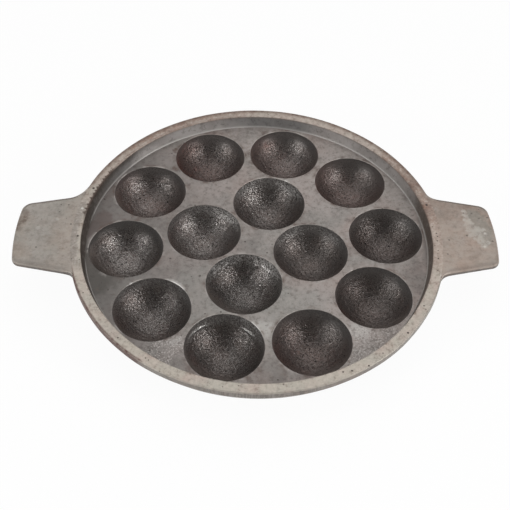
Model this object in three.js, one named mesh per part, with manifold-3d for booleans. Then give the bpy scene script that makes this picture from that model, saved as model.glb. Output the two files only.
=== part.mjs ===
// Cast-iron paniyaram pan: a round sunken griddle plate with two rings of batter cups, a raised rim
// and two flat lug handles. The real pan is poured as one piece of grey iron, so its features are
// modelled as neighbouring solids that meet at hairline seams.
// Millimetres, +Z up. The pan stands on z = 0, its centre on the Z axis and its handles along X.
import * as THREE from "three";
import { mergeVertices, toCreasedNormals } from "three/addons/utils/BufferGeometryUtils.js";
import Module from "manifold-3d";

// Cups
const CUP_MOUTH_DIAMETER = 46.2;
const CUP_DEPTH = 20; // from the plate's face to the inside of the bottom
const CUP_WALL = 4;
const CUP_FOOT_DIAMETER = 13; // small flat under each bowl that the pan stands on
const BOWL_FILLET = 4; // where a bowl runs out into the underside of the plate
const INNER_CUPS = 4;
const OUTER_CUPS = 10;
const INNER_WEB = 2.1; // iron left between neighbours of the inner ring, at the mouth
const RING_WEB = 1.05; // thinnest iron between an inner and an outer cup
const CUP_PATTERN_TURN = 76.2; // degrees from +X to the radius on which an inner and an outer cup line up

// Plate and rim
const PLATE_THICKNESS = 5;
const PLATE_MARGIN = 1.8; // from the outer cups' mouths to the foot of the wall
const TRAY_DEPTH = 8; // from the top of the rim down to the plate
const WALL_LEAN = 2; // how far the inside of the wall opens from its foot to the rim
const RIM_LAND = 6.7; // width of the ground ring on top
const RIM_EDGE = 0.8; // rounding of the rim's two edges
const RIM_STRAIGHT = 4.4; // upright part of the outer wall, before it leans in under the rim

// Handles
const HANDLE_REACH = 34.2; // beyond the rim
const HANDLE_ROOT_WIDTH = 63.5;
const HANDLE_TIP_WIDTH = 48.5;
const HANDLE_TIP_BOW = 2; // how far the middle of the tip stands out beyond its corners
const HANDLE_BACK_CORNER = 7.4;
const HANDLE_FRONT_CORNER = 5.6;
const HANDLE_BACK_FILLET = 16; // where the lug's back runs out on the rim
const HANDLE_FRONT_FILLET = 8;
const HANDLE_THICKNESS = 4;
const HANDLE_EDGE = 1; // rounding of the lug's upper and lower edges
const HANDLE_DROP = 0.2; // the ground rim stands this far above the handle's cast face

// Seams, and the number of flat facets that stand for a round stretch
const SEAM = 0.3; // hairline between neighbouring solids
const RIM_SIDES = 72;
const CUP_SIDES = 22;
const CUP_FACETS = 6;
const BOWL_FACETS = 5;
const MOUTH_FACETS = 2;
const FILLET_FACETS = 3;
const EDGE_FACETS = 2;
const CREASE_ANGLE = THREE.MathUtils.degToRad(30);

// Heights, from the ground up
const mouthRadius = CUP_MOUTH_DIAMETER / 2;
const cupRadius = (mouthRadius ** 2 + CUP_DEPTH ** 2) / (2 * CUP_DEPTH);
const bowlRadius = cupRadius + CUP_WALL;
const cupCentreZ = Math.sqrt(bowlRadius ** 2 - (CUP_FOOT_DIAMETER / 2) ** 2);
const plateTop = cupCentreZ - cupRadius + CUP_DEPTH;
const plateUnder = plateTop - PLATE_THICKNESS;
const bowlTop = plateUnder - SEAM;
const rimTop = plateTop + TRAY_DEPTH;

// The bowl's fillet is round a circle that touches the bowl from outside and the plate from below.
const filletCentreZ = bowlTop - BOWL_FILLET;
const filletCentreRadius = Math.sqrt((bowlRadius + BOWL_FILLET) ** 2 - (cupCentreZ - filletCentreZ) ** 2);

// Radii, from the centre out
const innerRingRadius = ringRadius(INNER_CUPS, CUP_MOUTH_DIAMETER + INNER_WEB);
const outerRingRadius = Math.max(
  innerRingRadius + CUP_MOUTH_DIAMETER + RING_WEB,
  ringRadius(OUTER_CUPS, CUP_MOUTH_DIAMETER + RING_WEB),
);
const wallFootRadius = outerRingRadius + mouthRadius + PLATE_MARGIN;
const rimUnderRadius = outerRingRadius + filletCentreRadius;
const rimInnerRadius = wallFootRadius + WALL_LEAN;
const rimOuterRadius = rimInnerRadius + RIM_LAND;

const wasm = await Module();
wasm.setup();

// Radius of a ring of equally spaced points whose neighbours are one pitch apart.
function ringRadius(count, pitch) {
  return pitch / (2 * Math.sin(Math.PI / count));
}

function point(x, y) {
  return new THREE.Vector2(x, y);
}

// Points of an arc about a centre, between two angles in radians.
function arc(centre, radius, from, to, facets) {
  return Array.from({ length: facets + 1 }, (_, i) => {
    const angle = THREE.MathUtils.lerp(from, to, i / facets);
    return point(radius * Math.cos(angle), radius * Math.sin(angle)).add(centre);
  });
}

// Angle on a ball about the cup's centre at which it passes a height.
function angleAtHeight(radius, z) {
  return Math.asin((z - cupCentreZ) / radius);
}

// A closed profile of (r, z) points, counter-clockwise round the iron, turned about the Z axis.
function revolve(profile, sides) {
  return new THREE.LatheGeometry(profile, sides).rotateX(Math.PI / 2);
}

function solidOf(geometry) {
  const plain = geometry.clone();
  plain.deleteAttribute("normal");
  plain.deleteAttribute("uv");
  const merged = mergeVertices(plain);
  return new wasm.Manifold(
    new wasm.Mesh({
      numProp: 3,
      vertProperties: merged.attributes.position.array,
      triVerts: new Uint32Array(merged.index.array),
    }),
  );
}

function geometryOf(solid) {
  const mesh = solid.getMesh();
  return new THREE.BufferGeometry()
    .setAttribute("position", new THREE.BufferAttribute(mesh.vertProperties, 3))
    .setIndex(new THREE.BufferAttribute(mesh.triVerts, 1));
}

// Ground faces are bright iron; the cups and the underside keep their dark cast skin.
const groundIron = new THREE.MeshStandardMaterial({ color: 0x8d8883, roughness: 0.5, metalness: 0.6 });
const rimIron = new THREE.MeshStandardMaterial({ color: 0xa79d92, roughness: 0.55, metalness: 0.5 });
const cupIron = new THREE.MeshStandardMaterial({ color: 0x3d3936, roughness: 0.6, metalness: 0.5 });
const handleIron = new THREE.MeshStandardMaterial({ color: 0x9a8f86, roughness: 0.65, metalness: 0.4 });

const pan = new THREE.Group();
pan.name = "paniyaram_pan";

function addPiece(name, geometry, material) {
  const mesh = new THREE.Mesh(toCreasedNormals(geometry, CREASE_ANGLE), material);
  mesh.name = name;
  pan.add(mesh);
  return mesh;
}

// Where the cups stand: both rings start on the radius on which an inner and an outer cup line up.
function cupRing(ring, count, radius) {
  return Array.from({ length: count }, (_, i) => {
    const turn = THREE.MathUtils.degToRad(CUP_PATTERN_TURN + (360 * i) / count);
    const number = String(i + 1).padStart(2, "0");
    const place = point(radius * Math.cos(turn), radius * Math.sin(turn));
    return { name: `${ring}_cup_${number}`, turn, place };
  });
}

const cups = [
  ...cupRing("inner", INNER_CUPS, innerRingRadius),
  ...cupRing("outer", OUTER_CUPS, outerRingRadius),
];

// Rim: the wall round the tray, with a ground land on top and its outside leaning in below.
function rimGeometry() {
  const edgeZ = rimTop - RIM_EDGE;
  const outerEdge = arc(point(rimOuterRadius - RIM_EDGE, edgeZ), RIM_EDGE, 0, Math.PI / 2, EDGE_FACETS);
  const innerEdge = arc(point(rimInnerRadius + RIM_EDGE, edgeZ), RIM_EDGE, Math.PI / 2, Math.PI, EDGE_FACETS);
  const profile = [
    point(wallFootRadius, plateUnder),
    point(rimUnderRadius, plateUnder),
    point(rimOuterRadius, rimTop - RIM_STRAIGHT),
    ...outerEdge,
    ...innerEdge,
    point(wallFootRadius, plateTop),
    point(wallFootRadius, plateUnder),
  ];
  return revolve(profile, RIM_SIDES);
}

addPiece("rim", rimGeometry(), rimIron);

// Plate: the floor of the tray, which the upper part of every cup is cut through.
function cupMouth(cup) {
  const overrun = PLATE_THICKNESS;
  const under = angleAtHeight(cupRadius, plateUnder);
  const top = angleAtHeight(cupRadius, plateTop);
  const wall = arc(point(0, cupCentreZ), cupRadius, under, top, MOUTH_FACETS);
  const profile = [
    point(0, plateUnder - overrun),
    point(wall[0].x, plateUnder - overrun),
    ...wall,
    point(mouthRadius, plateTop + overrun),
    point(0, plateTop + overrun),
  ];
  return solidOf(revolve(profile, CUP_SIDES).rotateZ(cup.turn).translate(cup.place.x, cup.place.y, 0));
}

function plateGeometry() {
  const plateRadius = wallFootRadius - SEAM;
  const profile = [
    point(0, plateUnder),
    point(plateRadius, plateUnder),
    point(plateRadius, plateTop),
    point(0, plateTop),
  ];
  const disc = solidOf(revolve(profile, RIM_SIDES));
  return geometryOf(cups.reduce((plate, cup) => plate.subtract(cupMouth(cup)), disc));
}

addPiece("griddle_plate", plateGeometry(), groundIron);

// Bowls: the lower part of each cup, hanging under the plate, with a flat foot of its own.
function bowlGeometry() {
  const foot = angleAtHeight(bowlRadius, 0);
  const tangent = Math.atan2(filletCentreZ - cupCentreZ, filletCentreRadius);
  const outside = arc(point(0, cupCentreZ), bowlRadius, foot, tangent, BOWL_FACETS);
  const filletCentre = point(filletCentreRadius, filletCentreZ);
  const fillet = arc(filletCentre, BOWL_FILLET, Math.PI + tangent, Math.PI / 2, FILLET_FACETS);
  const brim = angleAtHeight(cupRadius, bowlTop);
  const inside = arc(point(0, cupCentreZ), cupRadius, brim, -Math.PI / 2, CUP_FACETS);
  return revolve([point(0, 0), ...outside, ...fillet.slice(1), ...inside], CUP_SIDES);
}

// What lies past the plane halfway to a neighbour, less half a seam, as a block in the cup's own frame.
function beyondHalfway(cup, neighbour) {
  const offset = neighbour.place.clone().sub(cup.place).rotateAround(point(0, 0), -cup.turn);
  const side = 4 * filletCentreRadius;
  const nearFace = (offset.length() - SEAM) / 2;
  const block = new THREE.BoxGeometry(side, side, side).translate(nearFace + side / 2, 0, 0);
  return solidOf(block.rotateZ(offset.angle()));
}

for (const cup of cups) {
  const neighbours = cups.filter((other) => {
    const distance = other.place.distanceTo(cup.place);
    return other !== cup && distance < 2 * filletCentreRadius + SEAM;
  });
  const whole = solidOf(bowlGeometry());
  const bowl = neighbours.reduce((solid, other) => solid.subtract(beyondHalfway(cup, other)), whole);
  const mesh = addPiece(cup.name, geometryOf(bowl), cupIron);
  mesh.position.set(cup.place.x, cup.place.y, 0);
  mesh.rotation.z = cup.turn;
}

// Centre of a circle that keeps an offset from a straight edge and a distance from another centre,
// taken on the far side along the edge.
function tangentCentre(edgeStart, along, offset, centre, distance) {
  const from = edgeStart.clone().add(point(-along.y, along.x).multiplyScalar(offset)).sub(centre);
  const back = from.dot(along);
  const run = Math.sqrt(back ** 2 - from.lengthSq() + distance ** 2) - back;
  return from.addScaledVector(along, run).add(centre);
}

// One long side of a handle that points along +X, on its +Y side: a line that closes in from the root to the
// tip, with a round corner at the tip and a fillet that runs out on the rim.
const tipX = rimOuterRadius + HANDLE_REACH;
const tipRadius = ((HANDLE_TIP_WIDTH / 2) ** 2 + HANDLE_TIP_BOW ** 2) / (2 * HANDLE_TIP_BOW);
const tipCentre = point(tipX - tipRadius, 0);

function handleSide(cornerRadius, filletRadius) {
  const halfRoot = HANDLE_ROOT_WIDTH / 2;
  const root = point(Math.sqrt(rimOuterRadius ** 2 - halfRoot ** 2), halfRoot);
  const along = point(tipX - HANDLE_TIP_BOW, HANDLE_TIP_WIDTH / 2).sub(root).normalize();
  const corner = tangentCentre(root, along, -cornerRadius, tipCentre, tipRadius - cornerRadius);
  const fillet = tangentCentre(root, along, filletRadius, point(0, 0), rimOuterRadius + filletRadius);
  const sideAngle = Math.atan2(along.y, along.x) + Math.PI / 2;
  return {
    corner,
    cornerRadius,
    fillet,
    filletRadius,
    tipAngle: corner.clone().sub(tipCentre).angle(),
    sideAngle,
    footAngle: sideAngle + Math.PI,
    rimAngle: fillet.angle() + Math.PI,
    onRim: fillet.clone().setLength(rimOuterRadius),
    insideRim: fillet.clone().setLength(rimOuterRadius - filletRadius),
  };
}

// Handle outline, seen from above: its -Y side out to the bowed tip, then its +Y side back to the rim.
function handleOutline(upper, lower) {
  return new THREE.Shape()
    .moveTo(lower.insideRim.x, -lower.insideRim.y)
    .lineTo(lower.onRim.x, -lower.onRim.y)
    .absarc(lower.fillet.x, -lower.fillet.y, lower.filletRadius, -lower.rimAngle, -lower.footAngle, true)
    .absarc(lower.corner.x, -lower.corner.y, lower.cornerRadius, -lower.sideAngle, -lower.tipAngle, false)
    .absarc(tipCentre.x, 0, tipRadius, -lower.tipAngle, upper.tipAngle, false)
    .absarc(upper.corner.x, upper.corner.y, upper.cornerRadius, upper.tipAngle, upper.sideAngle, false)
    .absarc(upper.fillet.x, upper.fillet.y, upper.filletRadius, upper.footAngle, upper.rimAngle, true)
    .lineTo(upper.insideRim.x, upper.insideRim.y);
}

// Handle: the outline as a lug with rounded edges, cut off along the outside of the rim.
function handleGeometry(upper, lower) {
  const top = rimTop - HANDLE_DROP;
  const lug = new THREE.ExtrudeGeometry(handleOutline(upper, lower), {
    depth: HANDLE_THICKNESS - 2 * HANDLE_EDGE,
    bevelThickness: HANDLE_EDGE,
    bevelSize: HANDLE_EDGE,
    bevelOffset: -HANDLE_EDGE,
    bevelSegments: EDGE_FACETS,
    curveSegments: FILLET_FACETS,
  }).translate(0, 0, top + HANDLE_EDGE - HANDLE_THICKNESS);
  const profile = [
    point(0, top - 2 * HANDLE_THICKNESS),
    point(rimOuterRadius + SEAM, top - 2 * HANDLE_THICKNESS),
    point(rimOuterRadius + SEAM, top + HANDLE_THICKNESS),
    point(0, top + HANDLE_THICKNESS),
  ];
  return geometryOf(solidOf(lug).subtract(solidOf(revolve(profile, RIM_SIDES))));
}

// The lugs mirror each other: the left one is turned half round, so its sides change places.
const backSide = handleSide(HANDLE_BACK_CORNER, HANDLE_BACK_FILLET);
const frontSide = handleSide(HANDLE_FRONT_CORNER, HANDLE_FRONT_FILLET);
addPiece("right_handle", handleGeometry(backSide, frontSide), handleIron);
addPiece("left_handle", handleGeometry(frontSide, backSide), handleIron).rotation.z = Math.PI;

export default pan;
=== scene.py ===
"""Dresses a cast-iron paniyaram pan: fourteen ball cups sunk in a rimmed griddle, with two lug handles.

Metres, +Z up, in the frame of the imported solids. The real pan is one casting, so each feature is a closed
mesh here that meets its neighbours edge to edge, and no seam shows.
"""

import bpy
import numpy as np
from mathutils import Euler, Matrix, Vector
from mathutils.geometry import delaunay_2d_cdt


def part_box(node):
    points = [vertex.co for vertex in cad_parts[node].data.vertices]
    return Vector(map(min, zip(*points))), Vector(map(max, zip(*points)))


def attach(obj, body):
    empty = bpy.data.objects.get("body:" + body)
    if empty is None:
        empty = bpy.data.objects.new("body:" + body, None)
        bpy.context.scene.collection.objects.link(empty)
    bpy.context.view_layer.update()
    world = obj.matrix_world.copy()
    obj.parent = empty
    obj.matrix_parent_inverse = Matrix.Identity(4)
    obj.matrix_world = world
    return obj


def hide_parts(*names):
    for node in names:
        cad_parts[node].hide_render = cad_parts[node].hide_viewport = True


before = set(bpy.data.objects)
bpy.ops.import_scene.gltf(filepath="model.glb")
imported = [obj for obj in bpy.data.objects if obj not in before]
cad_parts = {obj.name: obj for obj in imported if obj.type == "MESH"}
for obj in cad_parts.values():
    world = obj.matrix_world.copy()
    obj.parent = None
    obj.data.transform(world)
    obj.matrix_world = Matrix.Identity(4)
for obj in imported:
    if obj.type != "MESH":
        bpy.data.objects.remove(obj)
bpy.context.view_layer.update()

MM = 0.001

# The griddle plate is the floor of the tray. It is grey iron, cast in one with the cups and then turned
# flat, so its face is bare stained metal, and each cup breaks through it with a small worn lip.
CUP_MOUTH = 46.2 * MM
CUP_DEPTH = 20.0 * MM
CUP_SKIN = 0.045 * MM
CUP_SKIN_LENGTH = 2.6 * MM
LIP_ROUND = 0.45 * MM
LIP_WOBBLE = 0.12 * MM
LIP_WOBBLE_LENGTH = 5.0 * MM
LIP_FADE = 1.5 * MM
LIP_ROWS = 6
RUST_LENGTH = 26 * MM
RUST_REACH = 2.8 * MM
# Painted shade in the corner under the wall reaches this far onto the plate.
CORNER_SHADE = 4.5 * MM
SEAM = 0.3 * MM
FOOT_LEVEL = 0.01 * MM
CUP_WALL_ROWS = 9
RING_POINTS = 192
PLATE_EDGE_POINTS = 384
PLATE_SPACING = 1.6 * MM
POINT_MERGE = 1e-9
SHARP_EDGE = np.radians(38)
FIRE_SOOT = 0.45
CUP_METAL = 0.68

# Marks inside the cups: where they lie, how deep below the plate they reach and how much metal they move.
# Some carry painted light and shade: the front wall painted paler, the left wall high up painted darker,
# and painted highlights in the back streaks and on the ledge.
SMOOTH_BELT = 5.6 * MM
SMOOTH_WAVE = 7.0 * MM
SMOOTH_SIDE = np.radians(48)
SMOOTH_STEP = 0.1 * MM
BELT_LEAN = 0.75
BELT_WAVER = 0.1
BELT_EDGE = 0.4 * MM
LEDGE_CUP = "outer_cup_06"
LEDGE_DEPTH = 4.7 * MM
LEDGE_WIDTH = 0.8 * MM
LEDGE_STEP = 0.35 * MM
LEDGE_LEAN = 0.6
# The ledge is also painted bright along these arcs, a painted highlight.
LEDGE_ARCS = np.radians([(138, 26), (47, 18)])
BURNT_SIDE = np.radians(240)
BURNT_DEPTH = 4 * MM
# The front wall, painted paler as painted light, begins this far below the plate.
LIT_FRONT_DEPTH = 3 * MM
HIGH_WALL = 9 * MM
SCRAPE_GLINT_START = 1 * MM
SCRAPE_GLINT_DEPTH = 9 * MM
# Painted shade high on the left wall of some cups is full down to this depth and fades out over the next.
LEFT_SHADE_DEPTH = 7 * MM
LEFT_SHADE_FADE = 4 * MM

# Each cup's own share of a mark, the inner ring first and then the outer one. CUP_LEAN is the side it is
# rubbed on, above 0 for the right, and CUP_SWING is how far its front wall, painted paler as painted light,
# turns from the front to the left. Among them are each cup's share of painted shade high on the left wall
# and of pale back streaks, which are partly scrapes and partly painted highlight.
CUP_RUST = np.array([0.35, 0.35, 0.1, 0.3, 0.95, 1.05, 0.8, 0.3, 0.3, 0.3, 0.65, 0.45, 0.5, 1.1])
CUP_SOOT = np.array([0.5, 0.2, 0.75, 0.5, 0.1, 0.4, 0.25, 0.0, 0.5, 0.65, 0.45, 0.6, 0.6, 0.25])
CUP_SHINE = np.array([1.0, 1.25, 1.2, 0.55, 0.72, 0.6, 0.95, 1.65, 1.15, 0.9, 0.55, 0.55, 0.65, 0.62])
CUP_LIT_FRONT = np.array([1.0, 1.0, 1.0, 1.25, 1.0, 1.1, 1.0, 1.0, 1.0, 1.0, 1.05, 1.25, 1.25, 1.0])
CUP_BELT = np.array([0.35, 0.4, 0.25, 0.7, 0.9, 0.7, 0.7, 1.0, 0.6, 0.6, 0.9, 0.8, 0.7, 0.9])
CUP_LEAN = np.array([-0.75, -0.9, 0.35, -0.35, 0.4, 0.3, -0.8, 0.0, 0.2, 0.0, -0.15, -0.15, -0.35, -0.5])
CUP_SWING = np.radians([5, 0, 25, 5, 25, 0, 22, 40, 0, 15, 0, 0, 0, 0])
CUP_LEFT_SHADE = np.array([0.1, 0.5, 0.0, 0.2, 0.5, 0.4, 0.5, 0.75, 0.0, 0.0, 0.1, 0.0, 0.0, 0.35])
RIGHT_SCRAPE_GLINT = np.array([0.7, 1.3, 1.8, 0.3, 0.0, 0.0, 0.0, 0.0, 0.3, 0.6, 0.1, 0.1, 0.2, 0.0])
LEFT_SCRAPE_GLINT = np.array([0.7, 0.1, 0.8, 0.5, 0.0, 0.0, 0.0, 0.0, 0.3, 0.4, 0.1, 0.0, 0.1, 0.0])

# Stains, wear and painted shade on the plate's face, each (x, y, radius) in millimetres.
LIP_CHIPS = [(18.4, 50.5, 5), (-1.3, -64.6, 5), (-48.3, -34.8, 8), (-73.5, -36.5, 5)]
PLATE_PALES = [(40, 44, 26), (4, -66, 13), (57, -70, 13), (-49, -78, 12), (-69, -78, 8), (35, -47, 18),
               (-87, 22, 12), (-29, 49, 14), (-5, 85, 10), (50, 77, 9), (-60, 77, 13)]
PLATE_BRIGHTS = [(4, -67, 8), (58, -68, 8), (-48, -75, 5)]
PLATE_GREENS = [(-34, -46, 30), (20, -60, 30)]
PLATE_ROUGHS = [(-50, -77, 12), (-57, -86, 12), (62, -74, 15), (76, -66, 9), (54, -85, 8)]
PLATE_SOOTS = [(-6, -4, 9), (8, -95, 12), (22, -95, 8), (97, -30, 13)]
PLATE_SHADES = [(-100, -12, 14), (-99, -31, 19)]
PLATE_RUSTS = [(-54, 82, 3.5), (-2.6, 71, 3), (-45, 47, 3), (50, 34, 3), (93, 55, 3), (98, 59, 2.5),
               (63, 64, 3), (41, 45, 3), (-53, 74, 4), (-53, 65, 4)]
PLATE_REDS = [(-99, 13, 11), (-100, 6, 10), (-97, 20, 7)]

# Stretches over which a stain or painted shade comes in, from where there is none of it to where it is full.
SHADED_LEFT_SIDE = (0.0, -104 * MM)
LEFT_HALF = (0.0, -1 * MM)
CORNER_SHADE_SIDES = (30 * MM, 10 * MM)

plate_low, plate_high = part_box("griddle_plate")
plate_under, plate_top = plate_low[2], plate_high[2]
rim_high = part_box("rim")[1]
rim_top = rim_high[2]
wall_foot = plate_high[0] + SEAM
cup_radius = ((CUP_MOUTH / 2) ** 2 + CUP_DEPTH**2) / (2 * CUP_DEPTH)
cup_height = plate_top + cup_radius - CUP_DEPTH
cup_turn = np.arange(RING_POINTS) * (2 * np.pi / RING_POINTS)
cup_nodes = sorted(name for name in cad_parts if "_cup_" in name)


def foot_centre(name):
    """Where a cup's axis meets the table: the middle of the box round the node's lowest points."""
    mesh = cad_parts[name].data
    points = np.empty(len(mesh.vertices) * 3)
    mesh.vertices.foreach_get("co", points)
    points = points.reshape(-1, 3)
    lowest = points[points[:, 2] < points[:, 2].min() + FOOT_LEVEL]
    return (lowest.min(axis=0) + lowest.max(axis=0))[:2] / 2


cup_axes = np.array([foot_centre(name) for name in cup_nodes])


def ramp(value):
    """0 below 0, 1 above 1, and a smooth S between."""
    part = np.clip(value, 0, 1)
    return part * part * (3 - 2 * part)


def waves(points, length, seed):
    """Uneven height at each point: sine waves about `length` long in random directions, added up to rms
    1."""
    draw = np.random.default_rng(seed)
    count = 24
    directions = draw.normal(size=(points.shape[-1], count))
    directions /= np.linalg.norm(directions, axis=0)
    pitch = 2 * np.pi / (length * draw.uniform(0.7, 1.5, count))
    phase = draw.uniform(0, 2 * np.pi, count)
    return np.sin(points @ (directions * pitch) + phase).sum(axis=-1) * np.sqrt(2 / count)


def turned(axis, radius, height):
    """Points at rows of radius and height carried round an upright axis, one row of points for each."""
    radius, height = np.broadcast_arrays(np.atleast_2d(radius), np.atleast_2d(height))
    radius = radius + np.zeros(RING_POINTS)
    x = axis[0] + radius * np.cos(cup_turn)
    y = axis[1] + radius * np.sin(cup_turn)
    return np.stack([x, y, height + 0 * radius], axis=-1)


# The lip is an arc between the flat face and the ball: its centre keeps LIP_ROUND from both.
lip_height = plate_top - LIP_ROUND
lip_radius = np.sqrt((cup_radius + LIP_ROUND) ** 2 - (cup_height - lip_height) ** 2)
lip_end = np.arctan2(cup_height - lip_height, -lip_radius)
polar_lip = np.arctan2(lip_radius, cup_height - lip_height)
polar_seam = np.arccos((cup_height - plate_under) / cup_radius)


def cup_marks(axis, points):
    """Values from 0 up for a cup's skin, by a point's turn round the axis and its depth below the plate.

    smooth is a belt under the lip with a wavy edge, widest at the right back, and ledge is a line along it in
    one cup, also painted bright along two arcs as a painted highlight. burnt is reddish by the cup's own
    share, most of all low on the front left. The front-wall mark is the front wall, painted paler as painted
    light.
    The sooting mark is the cup's own share, less on the front wall, plus painted shade high on the left wall
    of some cups. shiny is how well the grain tops are rubbed, more on the side that the cup leans to and less
    under that painted shade. high is the wall near the lip, and the scrape mark is pale streaks at its left
    and right back, partly scrapes and partly painted highlight.
    """
    half = CUP_MOUTH / 2
    across = points[..., :2] - axis
    turn = np.arctan2(across[..., 1], across[..., 0])
    depth = np.maximum(plate_top - points[..., 2], 0)
    number = np.linalg.norm(cup_axes - axis, axis=1).argmin()

    lean = np.cos(turn - SMOOTH_SIDE)
    belt = SMOOTH_BELT * (1 + BELT_LEAN * lean) * (1 + BELT_WAVER * waves(points, SMOOTH_WAVE, seed=13))
    smooth = (1 - ramp((depth - 0.4 * belt) / (0.8 * belt + BELT_EDGE))) * CUP_BELT[number]
    ledge = 0 * depth
    if cup_nodes[number] == LEDGE_CUP:
        arcs = [ramp(1.5 - 1.5 * np.abs(turn - middle) / reach) for middle, reach in LEDGE_ARCS]
        off_line = np.abs(depth - LEDGE_DEPTH * (1 + LEDGE_LEAN * lean))
        ledge = ramp(1 - off_line / LEDGE_WIDTH) * np.max(arcs, axis=0)

    toward = across @ np.array([np.cos(BURNT_SIDE), np.sin(BURNT_SIDE)])
    low_left = ramp((toward / half - 0.2) / 0.45) * ramp(depth / BURNT_DEPTH)
    rust = CUP_RUST[number]
    burnt = rust * (0.05 + 0.3 * ramp(toward / half + 1))
    burnt = np.minimum(burnt + (0.02 + 0.8 * rust) * low_left * (1 - burnt), 1)

    # Painted light: the front wall, turned by each cup's swing, is painted paler and less sooty.
    frontward = across @ np.array([-np.sin(CUP_SWING[number]), -np.cos(CUP_SWING[number])])
    lit_front = CUP_LIT_FRONT[number] * ramp((frontward / half - 0.1) / 0.6) * ramp(depth / LIT_FRONT_DEPTH)
    rubbed = CUP_LEAN[number] * across[..., 0] / half
    # Painted shade: the left wall high in the cup is darkened and its grain tops dimmed, by each cup's share.
    left_shade = CUP_LEFT_SHADE[number] * ramp(0.3 - 1.2 * np.cos(turn)) * (1 - ramp((depth - LEFT_SHADE_DEPTH) / LEFT_SHADE_FADE))
    soot_and_shade = CUP_SOOT[number] * np.maximum(1 - lit_front, 0) * (1 - rubbed) + left_shade
    shiny = CUP_SHINE[number] * (1 + rubbed) * (1 - left_shade)

    high = 1 - ramp(depth / HIGH_WALL)
    # Pale streaks at the left and right back near the lip, partly scrapes and partly painted highlight.
    at_back = ramp((np.sin(turn) - 0.1) / 0.5)
    at_right = ramp(0.5 + np.cos(turn))
    scrape_and_glint = LEFT_SCRAPE_GLINT[number] + (RIGHT_SCRAPE_GLINT - LEFT_SCRAPE_GLINT)[number] * at_right
    scrape_and_glint = scrape_and_glint * at_back * (0.35 + 0.65 * ramp(2 * np.abs(np.cos(turn))))
    scrape_and_glint = scrape_and_glint * ramp(depth / SCRAPE_GLINT_START) * (1 - ramp(2 * depth / SCRAPE_GLINT_DEPTH - 1))
    return {
        "smooth": smooth, "ledge": ledge, "burnt": burnt, "lit_front": lit_front, "soot_and_shade": soot_and_shade, "shiny": shiny,
        "high": high, "scrape_and_glint": scrape_and_glint,
    }


def cup_ball(axis, polar):
    """Inside of a cup: a ball with an uneven cast skin, a smooth belt cut a step deeper and a ledge that
    stands out, all dying away towards the lip. polar is the angle from straight down, one row of points
    for each."""
    polar = np.asarray(polar)[:, None]
    points = turned(axis, cup_radius * np.sin(polar), cup_height - cup_radius * np.cos(polar))
    centre = np.array([*axis, cup_height])
    fade = ramp((polar_lip - polar) * cup_radius / LIP_FADE)
    marks = cup_marks(axis, points)
    skin = CUP_SKIN * waves(points, CUP_SKIN_LENGTH, seed=11) * (1 - marks["smooth"])
    skin = skin + SMOOTH_STEP * marks["smooth"] - LEDGE_STEP * marks["ledge"]
    return points + (points - centre) * (skin * fade / cup_radius)[..., None]


def cup_lip(axis):
    """The worn lip: the arc's rows, from the flat face to the ball, wandering a little in and out."""
    turn = np.linspace(np.pi / 2, lip_end, LIP_ROWS)[:, None]
    plain = turned(axis, lip_radius, lip_height)
    wander = LIP_WOBBLE * np.tanh(waves(plain, LIP_WOBBLE_LENGTH, seed=23))
    fade = np.linspace(1, 0, LIP_ROWS)[:, None]
    radius = lip_radius + LIP_ROUND * np.cos(turn) + wander * fade
    return turned(axis, radius, lip_height + LIP_ROUND * np.sin(turn))


def numbered(points, start):
    """Point numbers for an array of points, counted on from start, in its shape."""
    shape = points.shape[:-1]
    return start + np.arange(np.prod(shape)).reshape(shape)


def quads(grid):
    """Faces between neighbouring rows of a grid of point numbers whose columns close round."""
    following = np.roll(grid, -1, axis=1)
    return np.stack([grid[:-1], following[:-1], following[1:], grid[1:]], axis=-1).reshape(-1, 4)


def cast_piece(node_name, slot, points, faces, materials, **marks):
    """A piece of the casting in place of its CAD node. faces is a list of (corners, material number), and
    marks are values at its points that its materials read."""
    mesh = bpy.data.meshes.new(f"cast_{node_name}")
    mesh.from_pydata(points.tolist(), [], [face for corners, _ in faces for face in corners.tolist()])
    numbers = np.concatenate([np.full(len(corners), number) for corners, number in faces])
    mesh.polygons.foreach_set("material_index", numbers.astype(np.int32))
    for material in materials:
        mesh.materials.append(material)
    for label, values in marks.items():
        mesh.attributes.new(label, "FLOAT", "POINT").data.foreach_set("value", values.astype(np.float32))
    mesh.shade_smooth()
    mesh.set_sharp_from_angle(angle=SHARP_EDGE)
    piece = bpy.data.objects.new(mesh.name, mesh)
    bpy.context.collection.objects.link(piece)
    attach(piece, "root")
    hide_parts(node_name)


def node(tree, kind, sockets=(), **settings):
    """A shader node. settings are its properties, sockets gives inputs a value or another node's output."""
    made = tree.nodes.new(f"ShaderNode{kind}")
    for name, value in settings.items():
        setattr(made, name, value)
    for name, value in dict(sockets).items():
        if isinstance(value, bpy.types.NodeSocket):
            tree.links.new(value, made.inputs[name])
        else:
            made.inputs[name].default_value = value
    return made


def sums(operation, *values):
    """The result of a Math node on values and outputs, in the node tree of the first output among them."""
    tree = next(value.id_data for value in values if isinstance(value, bpy.types.NodeSocket))
    return node(tree, "Math", enumerate(values), operation=operation).outputs[0]


def share(mask, strength):
    """A mask weakened by a factor or by another mask."""
    return sums("MULTIPLY", mask, strength)


def either(mask, other):
    """The stronger of two masks at each point."""
    return sums("MAXIMUM", mask, other)


def band(value, low, high):
    """0 where value is at low, 1 where it is at high, smooth between."""
    sockets = {"Value": value, "From Min": low, "From Max": high}
    return node(value.id_data, "MapRange", sockets, interpolation_type="SMOOTHSTEP").outputs[0]


def span(value, low, high):
    """Runs from low where value is 0 to high where it is 1."""
    return node(value.id_data, "MapRange", {"Value": value, "To Min": low, "To Max": high}).outputs[0]


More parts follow.
